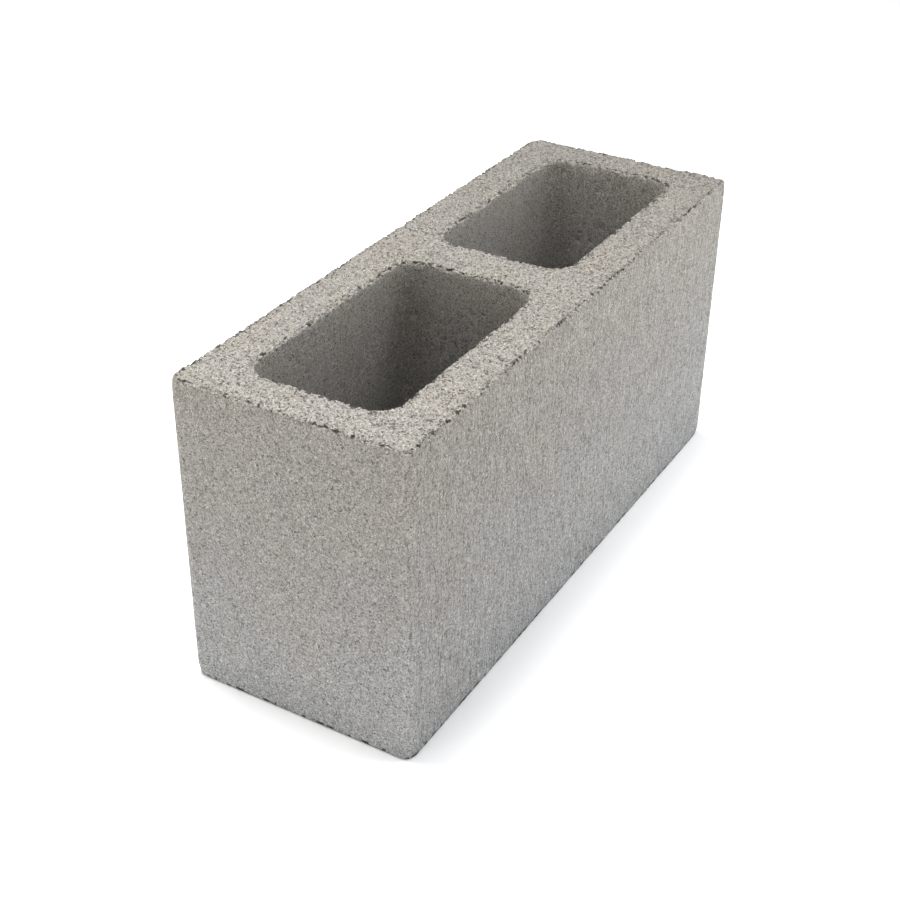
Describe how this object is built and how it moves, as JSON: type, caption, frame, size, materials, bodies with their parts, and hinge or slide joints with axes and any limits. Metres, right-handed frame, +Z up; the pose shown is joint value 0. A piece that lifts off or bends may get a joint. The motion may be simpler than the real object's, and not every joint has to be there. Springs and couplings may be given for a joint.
{
  "type": "hollow concrete block",
  "caption": "Hollow concrete masonry block with plain ends and tapered rectangular cores that run right through between its bed faces.",
  "frame": {"origin": "centre of the lower bed face, the face that the block stands on", "axes": "+X along the block's length, +Y across its width from one face shell to the other, +Z up through the cores"},
  "size_m": [0.39, 0.14, 0.19],
  "materials": {
    "concrete": "dry-cast grey concrete: matt, sandy, finely pitted, with crumbly arrises"
  },
  "bodies": {
    "root": {"block": "concrete"}
  },
  "joints": []
}
